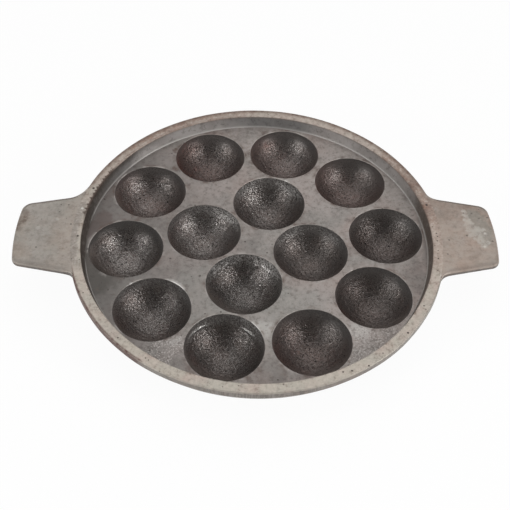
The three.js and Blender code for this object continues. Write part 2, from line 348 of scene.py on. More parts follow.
def paint(mask, under, over):
    """One colour over another, by a mask. A colour is an output or linear red, green and blue."""
    ends = [end if isinstance(end, bpy.types.NodeSocket) else (*end, 1.0) for end in (under, over)]
    return node(mask.id_data, "Mix", {0: mask, 6: ends[0], 7: ends[1]}, data_type="RGBA").outputs[2]


def coats(colour, *layers):
    """Coats over a colour, one on the other in their order, each (mask, strength, (red, green, blue))."""
    for mask, strength, tint in layers:
        colour = paint(share(mask, strength), colour, tint)
    return colour


def noise(place, scale, detail=2.0, rough=0.55):
    """A soft random pattern with `scale` bumps to the metre."""
    sockets = {"Vector": place, "Scale": scale, "Detail": detail, "Roughness": rough}
    return node(place.id_data, "TexNoise", sockets).outputs[0]


def on_pan(tree):
    """A point's place on the pan, in metres."""
    return node(tree, "TexCoord").outputs["Object"]


def coordinates(tree):
    """The x, y and z of a point of the pan."""
    return node(tree, "SeparateXYZ", {0: on_pan(tree)}).outputs


def away(x, y):
    """The root of the sum of two squares: how far a point is from an upright axis."""
    return sums("SQRT", sums("ADD", share(x, x), share(y, y)))


def feed(socket, value):
    """Links an output to an input."""
    socket.id_data.links.new(value, socket)


def new_group(name, inputs, outputs):
    """An empty node group: its tree, what it is given and what it puts out."""
    tree = bpy.data.node_groups.new(name, "ShaderNodeTree")
    for label, value in inputs.items():
        socket = tree.interface.new_socket(label, in_out="INPUT", socket_type="NodeSocketFloat")
        socket.default_value = value
    for label in outputs:
        tree.interface.new_socket(label, in_out="OUTPUT", socket_type="NodeSocketFloat")
    return tree, tree.nodes.new("NodeGroupInput").outputs, tree.nodes.new("NodeGroupOutput").inputs


def sand_grain_group():
    """Skin left by the sand mould: rounded grains for the bump, and masks of bright grain tops and dark
    pits."""
    tree, given, result = new_group("sand_grain", {"Grain": 1 * MM}, ["Height", "Fleck", "Pit"])
    place = on_pan(tree)
    scale = sums("DIVIDE", 1.0, given["Grain"])
    finer, lower = 1.9, 0.6
    coarse = noise(place, scale, 0.0)
    fine = noise(place, share(scale, finer), 0.0)
    feed(result["Height"], sums("ADD", coarse, share(fine, lower)))
    feed(result["Fleck"], band(fine, 0.5, 0.75))
    feed(result["Pit"], band(coarse, 0.45, 0.22))
    return tree


def speckle_group():
    """Fine mottling of several sizes at once: masks of its light and dark flecks, and its height."""
    tree, given, result = new_group("speckle", {"Size": 3 * MM}, ["Light", "Dark", "Height"])
    uneven = noise(on_pan(tree), sums("DIVIDE", 1.0, given["Size"]), 3.0, 0.8)
    feed(result["Height"], uneven)
    feed(result["Light"], band(uneven, 0.5, 0.68))
    feed(result["Dark"], band(uneven, 0.5, 0.32))
    return tree


def stain_group():
    """Large soft patches: three masks from noises of the patch's size, shifted so that they don't line
    up."""
    masks = {"Warm": (0.0, 0.42, 0.66), "Cool": (3.1, 0.45, 0.7), "Rust": (7.7, 0.56, 0.75)}
    tree, given, result = new_group("stain", {"Patch": 30 * MM}, masks)
    place = on_pan(tree)
    scale = sums("DIVIDE", 1.0, given["Patch"])
    for label, (shift, low, high) in masks.items():
        moved = node(tree, "VectorMath", {0: place, 1: (shift, shift, shift)}, operation="ADD").outputs[0]
        feed(result[label], band(noise(moved, scale, 3.0), low, high))
    return tree


def pit_group():
    """Scattered round pits: cells of the given spacing, of which a share holds a pit of random size."""
    inputs = {"Spacing": 6 * MM, "Share": 0.3, "Width": 0.7 * MM}
    tree, given, result = new_group("pits", inputs, ["Mask"])
    scale = sums("DIVIDE", 1.0, given["Spacing"])
    cells = node(tree, "TexVoronoi", {"Vector": on_pan(tree), "Scale": scale})
    chance = node(tree, "SeparateColor", {0: cells.outputs["Color"]}).outputs
    reach = share(cells.outputs["Distance"], given["Spacing"])
    width = share(given["Width"], span(chance[1], 0.35, 1.0))
    inside = sums("LESS_THAN", chance[0], given["Share"])
    hole = sums("SUBTRACT", 1.0, sums("DIVIDE", reach, width))
    feed(result["Mask"], share(inside, band(hole, 0.0, 0.5)))
    return tree


def blot_group():
    """One blot at a place on the pan: 1 within about half its radius, 0 beyond it, with a ragged
    outline."""
    inputs = {"X": 0.0, "Y": 0.0, "Radius": 1 * MM, "Ragged": 0.9}
    tree, given, result = new_group("blot", inputs, ["Mask"])
    parts = coordinates(tree)
    offsets = [sums("SUBTRACT", parts[axis], given[label]) for axis, label in enumerate("XY")]
    reach = sums("DIVIDE", away(*offsets), given["Radius"])
    uneven = noise(on_pan(tree), sums("DIVIDE", 2.5, given["Radius"]))
    ragged = share(sums("SUBTRACT", uneven, 0.5), given["Ragged"])
    feed(result["Mask"], band(sums("ADD", reach, ragged), 1.0, 0.5))
    return tree


sand_grain = sand_grain_group()
speckle = speckle_group()
stain = stain_group()
pits = pit_group()
blot = blot_group()


def placed(tree, group, **values):
    """A node group in a material, with its own values; returns its outputs."""
    made = node(tree, "Group", node_tree=group)
    for label, value in values.items():
        made.inputs[label].default_value = value
    return made.outputs


def blots(tree, places):
    """A mask of several blots, each (x, y, radius) in millimetres."""
    mask = 0.0
    for x, y, radius in places:
        mask = either(mask, placed(tree, blot, X=x * MM, Y=y * MM, Radius=radius * MM)["Mask"])
    return mask


def mark(tree, label):
    """A value that the mesh carries at its points."""
    return node(tree, "Attribute", attribute_name=label).outputs["Fac"]


def new_material(name, metallic):
    """A material with one Principled shader; returns it with its tree and that shader."""
    material = bpy.data.materials.new(name)
    material.use_nodes = True
    shader = material.node_tree.nodes["Principled BSDF"]
    shader.inputs["Metallic"].default_value = metallic
    return material, material.node_tree, shader


def finish(shader, colour, roughness, height, bump):
    """Feeds a colour, a roughness and a bump of the given depth to a material's shader."""
    relief = node(shader.id_data, "Bump", {"Height": height, "Distance": bump, "Strength": 1.0})
    feed(shader.inputs["Base Color"], colour)
    feed(shader.inputs["Roughness"], roughness)
    feed(shader.inputs["Normal"], relief.outputs[0])


def turned_iron():
    """The plate's uncoated face: mottled grey iron with pinkish and greenish patches, brown flecks and small
    pits, painted shade on the left and in the corner under the wall at both sides, darkest by the left wall,
    a few sooted spots, patches worn rough at the front, brown rust along parts of the lips and bright chips
    on a few of them."""
    material, tree, shader = new_material("turned_iron", metallic=0.4)
    patches = placed(tree, stain, Patch=34 * MM)
    clouds = placed(tree, stain, Patch=12 * MM)
    spots = placed(tree, stain, Patch=4 * MM)
    flecks = placed(tree, speckle, Size=3.4 * MM)
    holes = placed(tree, pits, Spacing=4.5 * MM, Share=0.4, Width=0.9 * MM)
    grain = placed(tree, sand_grain, Grain=1.5 * MM)
    x, y, _ = coordinates(tree)
    # Painted shade: the plate darkens towards the left and in the corner under the wall, mixed with a few
    # soot spots.
    corner = band(away(x, y), wall_foot - CORNER_SHADE, wall_foot)
    corner = share(corner, band(sums("ABSOLUTE", y), *CORNER_SHADE_SIDES))
    plate_shade_and_soot = either(share(band(x, *SHADED_LEFT_SIDE), 0.6), share(blots(tree, PLATE_SOOTS), 0.3))
    plate_shade_and_soot = either(plate_shade_and_soot, share(corner, span(band(x, *LEFT_HALF), 0.6, 0.9)))
    rough = blots(tree, PLATE_ROUGHS)
    lip_rust = share(mark(tree, "rusty"), span(spots["Warm"], 0.25, 1.0))
    rust = share(blots(tree, PLATE_RUSTS), span(spots["Warm"], 0.3, 0.9))
    lip = mark(tree, "worn")
    colour = coats(
        paint(patches["Warm"], (0.28, 0.252, 0.234), (0.312, 0.26, 0.238)),
        (patches["Cool"], 0.6, (0.25, 0.245, 0.228)),
        (clouds["Warm"], 0.3, (0.36, 0.32, 0.297)),
        (clouds["Cool"], 0.35, (0.165, 0.145, 0.132)),
        (blots(tree, PLATE_PALES), 0.5, (0.38, 0.335, 0.315)),
        (blots(tree, PLATE_GREENS), 0.6, (0.275, 0.27, 0.25)),
        (blots(tree, PLATE_BRIGHTS), 0.5, (0.52, 0.5, 0.475)),
        (flecks["Light"], 0.4, (0.42, 0.385, 0.358)),
        (flecks["Dark"], 0.55, (0.12, 0.098, 0.087)),
        # painted shade with some soot, then more painted shade by the left wall
        (plate_shade_and_soot, 1.0, (0.09, 0.082, 0.076)),
        (blots(tree, PLATE_SHADES), 0.6, (0.055, 0.05, 0.042)),
        (blots(tree, PLATE_REDS), 0.6, (0.115, 0.084, 0.076)),
        (rough, share(grain["Fleck"], 0.6), (0.56, 0.52, 0.49)),
        (rough, share(grain["Pit"], 0.45), (0.11, 0.088, 0.079)),
        (spots["Rust"], 0.22, (0.15, 0.1, 0.08)),
        (either(share(lip_rust, 0.9), rust), 1.0, (0.1, 0.064, 0.05)),
        (holes["Mask"], 0.75, (0.05, 0.036, 0.029)),
        (lip, band(clouds["Warm"], 0.5, 1.0), (0.4, 0.37, 0.345)),
        (lip, blots(tree, LIP_CHIPS), (0.72, 0.7, 0.67)),
    )
    height = sums("SUBTRACT", share(flecks["Height"], 0.7), holes["Mask"])
    finish(shader, colour, span(flecks["Light"], 0.5, 0.6), height, bump=0.12 * MM)
    return material


def seasoned_iron():
    """Inside and outside of the cups: cast skin between clean and sooted, with grain tops rubbed to shiny
    metal, dark pits and pores, a smooth greenish belt under the lip, pale streaks that are partly scrapes and
    partly painted highlight, a ledge painted bright as a highlight and reddish brown burns. The front wall is
    painted paler as painted light, and is calmer: its pits, pores and burns are weaker. High on the left wall
    of some cups the sooting carries painted shade."""
    material, tree, shader = new_material("seasoned_iron", CUP_METAL)
    patches = placed(tree, stain, Patch=11 * MM)
    grain = placed(tree, sand_grain, Grain=0.8 * MM)
    streaks = placed(tree, stain, Patch=4 * MM)
    pores = placed(tree, pits, Spacing=2.6 * MM, Share=0.4, Width=0.75 * MM)
    belt, lit_front, high, shiny = [mark(tree, label) for label in ("smooth", "lit_front", "high", "shiny")]
    coarse = sums("SUBTRACT", 1.0, share(belt, 0.75))
    red = share(mark(tree, "burnt"), span(patches["Rust"], 0.5, 1.0))
    red = share(red, span(lit_front, 1.1, 0.2))
    tops = share(coarse, share(grain["Fleck"], shiny))
    tops = share(tops, span(lit_front, 1.0, 0.6))
    tops = share(tops, span(red, 1.0, 0.9))
    scrape_and_glint = share(mark(tree, "scrape_and_glint"), band(grain["Height"], 0.65, 0.95))
    colour = coats(
        # soot, plus painted shade high on the left wall of some cups
        paint(mark(tree, "soot_and_shade"), (0.15, 0.136, 0.127), (0.052, 0.045, 0.041)),
        # painted light: the front wall painted paler
        (lit_front, 0.8, (0.29, 0.243, 0.22)),
        (patches["Warm"], 0.35, (0.125, 0.096, 0.084)),
        (patches["Cool"], 0.3, (0.07, 0.074, 0.07)),
        (high, 0.4, (0.115, 0.111, 0.104)),
        (belt, 0.9, (0.092, 0.089, 0.085)),
        (red, 0.95, (0.235, 0.083, 0.062)),
        # pale streaks, partly scrapes and partly painted highlight
        (scrape_and_glint, span(streaks["Warm"], 0.35, 1.0), (0.62, 0.6, 0.578)),
        # painted highlight: the ledge line painted bright
        (mark(tree, "ledge"), 0.7, (0.42, 0.42, 0.405)),
        (tops, 0.65, (0.42, 0.4, 0.383)),
        (coarse, share(grain["Pit"], span(lit_front, 0.85, 0.3)), (0.03, 0.025, 0.023)),
        (coarse, share(pores["Mask"], span(lit_front, 1.0, 0.35)), (0.018, 0.015, 0.014)),
    )
    metal = either(span(tops, CUP_METAL, 1.0), share(lit_front, 0.9))
    feed(shader.inputs["Metallic"], share(metal, span(high, 1.0, 0.55)))
    height = share(coarse, sums("SUBTRACT", grain["Height"], share(pores["Mask"], 0.3)))
    roughness = sums("SUBTRACT", span(shiny, 0.47, 0.4), share(grain["Fleck"], 0.08))
    finish(shader, colour, roughness, height, bump=0.19 * MM)
    return material


turned_iron_material = turned_iron()
seasoned_iron_material = seasoned_iron()


def griddle_plate():
    """The plate: a face triangulated between the lips and the wall's foot, cup walls below each lip, an
    underside with the same triangles and an edge, all sharing their points."""
    lips = np.stack([cup_lip(axis) for axis in cup_axes])
    polar = np.linspace(polar_lip, polar_seam, CUP_WALL_ROWS)[1:]
    walls = np.stack([cup_ball(axis, polar) for axis in cup_axes])
    holes = np.concatenate([lips, walls], axis=1)

    edge_turn = np.arange(PLATE_EDGE_POINTS) * (2 * np.pi / PLATE_EDGE_POINTS)
    edge = wall_foot * np.stack([np.cos(edge_turn), np.sin(edge_turn)], axis=-1)
    across = np.arange(-wall_foot, wall_foot, PLATE_SPACING)
    x, y = np.meshgrid(across, across * np.sqrt(0.75))
    x[::2] += PLATE_SPACING / 2
    inner = np.stack([x.ravel(), y.ravel()], axis=-1)
    to_axis = np.linalg.norm(inner[:, None] - cup_axes, axis=-1).min(axis=1)
    clear = 0.7 * PLATE_SPACING
    inner = inner[(to_axis > lip_radius + clear) & (np.linalg.norm(inner, axis=1) < wall_foot - clear)]

    rings = lips[:, 0, :, :2].reshape(-1, 2)
    face = np.concatenate([rings, edge, inner])
    ring_numbers = np.arange(len(rings)).reshape(-1, RING_POINTS)
    edge_numbers = len(rings) + np.arange(PLATE_EDGE_POINTS)
    loops = [*ring_numbers, edge_numbers]
    edges = np.concatenate([np.stack([loop, np.roll(loop, -1)], axis=-1) for loop in loops])
    found = delaunay_2d_cdt([Vector(point) for point in face], edges.tolist(), [], 0, POINT_MERGE)
    source = np.array([origin[0] for origin in found[3]])
    triangles = source[np.array(found[2])]
    ring_of = np.full(len(face), -1)
    ring_of[: len(rings)] = np.repeat(np.arange(len(cup_axes)), RING_POINTS)
    on_ring = ring_of[triangles]
    in_hole = (on_ring[:, 0] >= 0) & (on_ring == on_ring[:, :1]).all(axis=1)
    triangles = triangles[~in_hole]

    top = np.column_stack([face, np.full(len(face), plate_top)])
    below = holes[:, 1:].reshape(-1, 3)
    flat = np.concatenate([edge, inner])
    under = np.column_stack([flat, np.full(len(flat), plate_under)])
    points = np.concatenate([top, below, under])

    below_numbers = numbered(holes[:, 1:], len(top))
    hole_numbers = np.concatenate([ring_numbers[:, None], below_numbers], axis=1)
    under_of = np.concatenate([hole_numbers[:, -1].ravel(), numbered(under, len(top) + len(below))])
    edge_grid = np.stack([under_of[edge_numbers], edge_numbers])
    lip_faces = np.concatenate([quads(grid[:LIP_ROWS]) for grid in hole_numbers])
    wall_faces = np.concatenate([quads(grid[LIP_ROWS - 1:]) for grid in hole_numbers])
    under_faces = under_of[triangles[:, ::-1]]

    from_lip = np.linalg.norm(face[:, None] - cup_axes, axis=-1).min(axis=1) - lip_radius
    lip_rust = ramp((waves(face, RUST_LENGTH, seed=29) + 0.1) / 1.1) * ramp(1 - from_lip / RUST_REACH)
    rubbed = np.zeros(holes.shape[1])
    rubbed[:LIP_ROWS] = np.sin(np.linspace(0.15, 0.85, LIP_ROWS) * np.pi)
    labels = ("worn", "rusty", "smooth", "ledge", "burnt", "lit_front", "soot_and_shade", "shiny", "high", "scrape_and_glint")
    marks = {label: np.zeros(len(points)) for label in labels}
    marks["rusty"][: len(face)] = lip_rust
    marks["worn"][hole_numbers] = rubbed[:, None]
    for axis, hole, numbers in zip(cup_axes, holes, hole_numbers):
        for label, values in cup_marks(axis, hole).items():
            marks[label][numbers] = values
    marks["soot_and_shade"][len(top) + len(below):] = FIRE_SOOT
    faces = [(triangles, 0), (lip_faces, 0), (wall_faces, 1), (under_faces, 1), (quads(edge_grid), 1)]
    materials = [turned_iron_material, seasoned_iron_material]
    cast_piece("griddle_plate", "ground_iron", points, faces, materials, **marks)


griddle_plate()

# The bowls are the lower part of each cup, hanging under the plate. They are cast with it and left as they
# come from the sand, except for a small flat on the bottom that the pan stands on.
BOWL_WALL = 4.0 * MM
BOWL_FILLET = 4.0 * MM
FOOT_WEAR = 0.25 * MM
FILLET_END = 0.05 * MM
BOWL_SKIN = 0.06 * MM
BOWL_SKIN_LENGTH = 4.0 * MM
SKIN_ABOVE_FOOT = 4.0 * MM
SKIN_BELOW_PLATE = 2.0 * MM
BOWL_JOIN = 5
LEAST_FACING = 0.1
PROFILE_POINTS = 400
INSIDE_ROWS = 44
OUTSIDE_ROWS = 40

bowl_radius = cup_radius + BOWL_WALL
fillet_height = plate_under - BOWL_FILLET
fillet_radius = np.sqrt((bowl_radius + BOWL_FILLET) ** 2 - (cup_height - fillet_height) ** 2)
fillet_start = fillet_radius * bowl_radius / (bowl_radius + BOWL_FILLET)
fillet_reach = fillet_radius - np.sqrt(2 * BOWL_FILLET * FILLET_END)


def hang(reach):
    """How far a bowl hangs below the plate at a distance from its axis: a ball, a hollow fillet, then
    nothing."""
    ball = cup_height - np.sqrt(np.maximum(bowl_radius**2 - reach**2, 0))
    fillet = fillet_height + np.sqrt(np.maximum(BOWL_FILLET**2 - (reach - fillet_radius) ** 2, 0))
    height = np.where(reach < fillet_start, ball, fillet)
    return np.where(reach < fillet_radius, plate_under - height, 0.0)


def lengths(points):
    """How far along a line of points each of them lies."""
    return np.concatenate([[0], np.cumsum(np.linalg.norm(np.diff(points, axis=0), axis=1))])


# Where the rows of the outside lie: evenly along the profile, so the reach is read off against its length.
profile_reach = np.linspace(0, fillet_radius, PROFILE_POINTS)
profile_run = lengths(np.stack([profile_reach, hang(profile_reach)], axis=-1))


def halfway(axis):
    """How far a bowl reaches at each turn: to the plane halfway to a neighbour, or to the end of its
    fillet."""
    apart = cup_axes - axis
    distance = np.linalg.norm(apart, axis=1)
    apart, distance = apart[distance > 0], distance[distance > 0]
    facing = np.cos(cup_turn - np.arctan2(apart[:, 1], apart[:, 0])[:, None])
    plane = distance[:, None] / 2 / np.maximum(facing, LEAST_FACING)
    plane = np.where(facing > LEAST_FACING, plane, np.inf)
    return np.minimum(plane.min(axis=0), fillet_reach)


def bowl_outside(axis):
    """Underside of one bowl. The bowls' depths are joined by the root of the sum of their fifth powers,
    which runs neighbours together in a soft valley, and the lowest part is worn flat on the table."""
    limit = np.interp(halfway(axis), profile_reach, profile_run)
    run = np.linspace(0, 1, OUTSIDE_ROWS + 1)[1:, None] * limit
    flat = turned(axis, np.interp(run, profile_run, profile_reach), 0)[..., :2]
    depths = hang(np.linalg.norm(flat[:, :, None] - cup_axes, axis=-1))
    height = plate_under - (depths**BOWL_JOIN).sum(axis=-1) ** (1 / BOWL_JOIN)
    rough = BOWL_SKIN * waves(flat, BOWL_SKIN_LENGTH, seed=37) * ramp(height / SKIN_ABOVE_FOOT)
    height = height + rough * ramp((plate_under - height) / SKIN_BELOW_PLATE)
    height = (height + np.sqrt(height**2 + FOOT_WEAR**2)) / 2
    return np.concatenate([flat, height[..., None]], axis=-1)


def fan(tip, ring):
    """Triangles from one point to every step of a closed ring."""
    return np.stack([np.full(len(ring), tip), np.roll(ring, -1), ring], axis=-1)


def cup_bowl(name, axis):
    """One bowl: outside from the foot up, the joint with the plate, then the inside down to the bottom."""
    outside = bowl_outside(axis)
    brim = outside[-1:].copy()
    brim[..., 2] = plate_under
    inside = cup_ball(axis, np.linspace(polar_seam, 0, INSIDE_ROWS + 1)[:-1])
    rows = np.concatenate([outside, brim, inside])
    foot = np.array([[*axis, outside[0, :, 2].mean()]])
    bottom = np.array([[*axis, inside[-1, :, 2].mean()]])
    points = np.concatenate([rows.reshape(-1, 3), foot, bottom])
    grid = numbered(rows, 0)
    foot_number, bottom_number = len(points) - 2, len(points) - 1
    faces = [(quads(grid), 0), (fan(foot_number, grid[0]), 0), (fan(bottom_number, grid[-1])[:, ::-1], 0)]
    marks = cup_marks(axis, points)
    fired = np.append(grid[: OUTSIDE_ROWS + 1].ravel(), foot_number)
    for label, values in marks.items():
        values[fired] = FIRE_SOOT if label == "soot_and_shade" else 0
    cast_piece(name, "cup_iron", points, faces, [seasoned_iron_material], **marks)


for cup_name, cup_axis in zip(cup_nodes, cup_axes):
    cup_bowl(cup_name, cup_axis)

# The rim is the wall round the tray. Its top is ground to a flat pale land, its inside is left dark from the
# mould, with painted light at the left and right back, above a turned foot with a bright line painted on as a
# highlight, and its outside stands upright before it leans in under the pan.
WALL_LEAN = 2.0 * MM
RIM_EDGE = 0.8 * MM
RIM_STRAIGHT = 4.4 * MM
WALL_FILLET = 0.5 * MM
RIM_WOBBLE = 0.12 * MM
RIM_WOBBLE_LENGTH = 30 * MM
RIM_TURNS = 1500
TEETH_START = np.radians(145)
TEETH_END = np.radians(176)
TEETH_FADE = np.radians(6)
TEETH_COUNT = 26
TOOTH_REACH = 2.4 * MM
TOOTH_WIDTH = 1.6 * MM
TOOTH_BASE = 0.2 * MM
TOOTH_EDGE = 0.5 * MM
TOOTH_DEPTH = 0.4 * MM
HATCH_LINES = 88
STROKE_WIDTH = 0.9 * MM
STROKE_REACH = np.radians(24)
STROKE_DRAW = 0.08

# Stains, wear and painted light on the rim, each (x, y, radius) in millimetres.
LAND_PITS = [(-104.7, 37.6, 1.1), (108.3, 24.8, 1.0), (-110.1, -3.1, 0.9), (110.9, -5.5, 0.6),
             (109.6, -19.6, 0.65), (111.3, 0.7, 0.55), (111.6, -1.8, 0.6), (110.4, -13.3, 0.45),
             (109.8, -16, 0.4), (108, -29, 0.45), (84.6, -74.7, 0.8), (45.8, -101, 0.65), (50.8, -100.2, 0.7),
             (60.4, -96.9, 0.7), (96.2, -55.5, 0.6), (-78.9, -78.8, 0.65), (-101.9, -47.1, 0.5),
             (-62.6, -92.3, 0.5), (-60.9, -93.6, 0.5)]
EDGE_BURNS = [(-106, -45, 22), (-97, -62, 22), (-86, -77, 20), (-74, -90, 12)]
LAND_CHIPS = [(-109.9, 20.0, 1.1), (109.9, -33.3, 1.2)]
LAND_BROWNS = [(103, 45, 44), (-52, 100, 60)]
WALL_PAINTED_LIGHTS = [(72, 78, 58), (-53, 92, 50)]

rim_outer = rim_high[1]
rim_inner = wall_foot + WALL_LEAN
rim_under = np.linalg.norm(cup_axes, axis=1).max() + fillet_radius

# Stretches over which a stain or painted shade comes in: along x or y, by the distance from the pan's axis,
# by the turn round it in radians, or by the height.
RIGHT_HALF = (0.0, 1 * MM)
LAND_BACK = (-20 * MM, 70 * MM)
LUG_SIDES = (34 * MM, 21 * MM)
PALE_BACK = (50 * MM, 80 * MM)
BROWN_BACK = (25 * MM, 50 * MM)
EDGE_SHADE_FRONT = (-40 * MM, -85 * MM)
LUG_RING = (rim_inner + 0.2 * MM, rim_inner + 3 * MM)
PALE_RING = (rim_inner + 3.5 * MM, rim_inner + 1.5 * MM)
RUST_RING = (rim_inner + 2.0 * MM, rim_inner + 0.5 * MM)
BROWN_RING = (rim_outer - 3.8 * MM, rim_outer - 1.2 * MM)
BURNT_RING = (rim_outer - 1.7 * MM, rim_outer - 0.7 * MM)
OUTER_EDGE_SHADE_RING = (rim_outer - 1.0 * MM, rim_outer - 0.3 * MM)
HATCH_START = (0.24, 0.32)
HATCH_END = (0.58, 0.5)
WALL_BACK = (10 * MM, 85 * MM)
WALL_LEFT = (-50 * MM, -90 * MM)
WALL_FAR_LEFT = (-80 * MM, -104 * MM)
SOOTY_FOOT = (26 * MM, 10 * MM)
BROWN_HEIGHT = (plate_top + 5.5 * MM, plate_top + 7.5 * MM)
DARK_HEIGHT = (plate_top + 2.5 * MM, plate_top + 6.5 * MM)


def stretch(start, end, count):
    """Evenly spaced points from one (radius, height) to another, without the last."""
    return np.linspace(start, end, count, endpoint=False)


def round_off(centre, radius, start, end, count):
    """Points of an arc between two angles in degrees, without the last."""
    angle = np.radians(np.linspace(start, end, count, endpoint=False))
    return np.array(centre) + radius * np.stack([np.cos(angle), np.sin(angle)], axis=-1)


def swells(points, length, seed):
    """Uneven height from 0 to 1 at each point: waves, from two rms below their middle to two above."""
    return ramp((waves(points, length, seed) + 2) / 4)


def rim_profile():
    """The rim's section as a closed round of (radius, height), with the material number of each step."""
    shoulder = (rim_outer, rim_top - RIM_STRAIGHT)
    outer_edge = (rim_outer - RIM_EDGE, rim_top - RIM_EDGE)
    inner_edge = (rim_inner + RIM_EDGE, rim_top - RIM_EDGE)
    lean = WALL_FILLET * WALL_LEAN / (rim_top - plate_top)
    wall_start = (wall_foot + lean, plate_top + WALL_FILLET)
    stretches = [
        (stretch((wall_foot, plate_under), (rim_under, plate_under), 3), 2),
        (stretch((rim_under, plate_under), shoulder, 10), 2),
        (stretch(shoulder, (rim_outer, rim_top - RIM_EDGE), 6), 2),
        (round_off(outer_edge, RIM_EDGE, 0, 90, 6), 0),
        (stretch((outer_edge[0], rim_top), (inner_edge[0], rim_top), 13), 0),
        (round_off(inner_edge, RIM_EDGE, 90, 180, 6), 0),
        (stretch((rim_inner, inner_edge[1]), wall_start, 8), 1),
        (round_off((wall_start[0] - WALL_FILLET, wall_start[1]), WALL_FILLET, 0, -90, 5), 1),
        (stretch((wall_start[0] - WALL_FILLET, plate_top), (wall_foot, plate_top), 2), 1),
        (stretch((wall_foot, plate_top), (wall_foot, plate_under), 3), 1),
    ]
    profile = np.concatenate([points for points, _ in stretches])
    numbers = np.concatenate([np.full(len(points), number) for points, number in stretches])
    return profile, numbers


def rim():
    """The rim: its section carried round, with a slow waver, and its inner edge chipped into teeth at the
    left back, each a notch that narrows away from the edge."""
    profile, numbers = rim_profile()
    turn = np.arange(RIM_TURNS) * (2 * np.pi / RIM_TURNS)
    around = np.stack([np.cos(turn), np.sin(turn)], axis=-1)
    waver = RIM_WOBBLE * swells(around * rim_outer, RIM_WOBBLE_LENGTH, seed=41)
    outside = ramp((profile[:, 0] - wall_foot - WALL_LEAN) / (rim_outer - rim_inner))

    draw = np.random.default_rng(43)
    pitch = (TEETH_END - TEETH_START) / TEETH_COUNT
    tooth_turn = TEETH_START + pitch * (np.arange(TEETH_COUNT) + draw.uniform(0.0, 1.0, TEETH_COUNT))
    tooth_size = draw.uniform(0.2, 1.0, TEETH_COUNT)
    gap = np.abs(turn[:, None] - tooth_turn) * rim_inner
    tooth = (tooth_size * np.clip(1 - gap / (TOOTH_WIDTH * tooth_size), 0, 1)).max(axis=1)
    worn = ramp((turn - TEETH_START) / TEETH_FADE) * ramp((TEETH_END - turn) / TEETH_FADE)
    reach = worn * (TOOTH_BASE + TOOTH_REACH * tooth)
    from_edge = profile[:, 0] - rim_inner - RIM_EDGE + profile[:, 1] - rim_top
    chipped = np.clip((reach - from_edge[:, None]) / TOOTH_EDGE, 0, 1) * worn
    on_top = np.clip(1.5 + from_edge / RIM_EDGE, 0, 1)[:, None]

    radius = profile[:, :1] - waver * outside[:, None]
    height = profile[:, 1:] - TOOTH_DEPTH * chipped * on_top
    rows = np.concatenate([radius[..., None] * around, height[..., None]], axis=-1)
    grid = numbered(rows, 0)
    corners = quads(np.concatenate([grid, grid[:1]]))
    by_step = np.repeat(numbers, RIM_TURNS)
    faces = [(corners[by_step == number], number) for number in range(3)]
    materials = [ground_land_material, wall_skin_material, cast_skin_material]
    # The rows at the wall's foot carry a bright line, a painted highlight.
    foot_highlight_rows = np.hypot(profile[:, 0] - wall_foot, profile[:, 1] - plate_top) < 1.2 * WALL_FILLET
    marks = {"chipped": chipped.ravel(), "worn": np.repeat(foot_highlight_rows, RIM_TURNS)}
    cast_piece("rim", "rim_iron", rows.reshape(-1, 3), faces, materials, **marks)


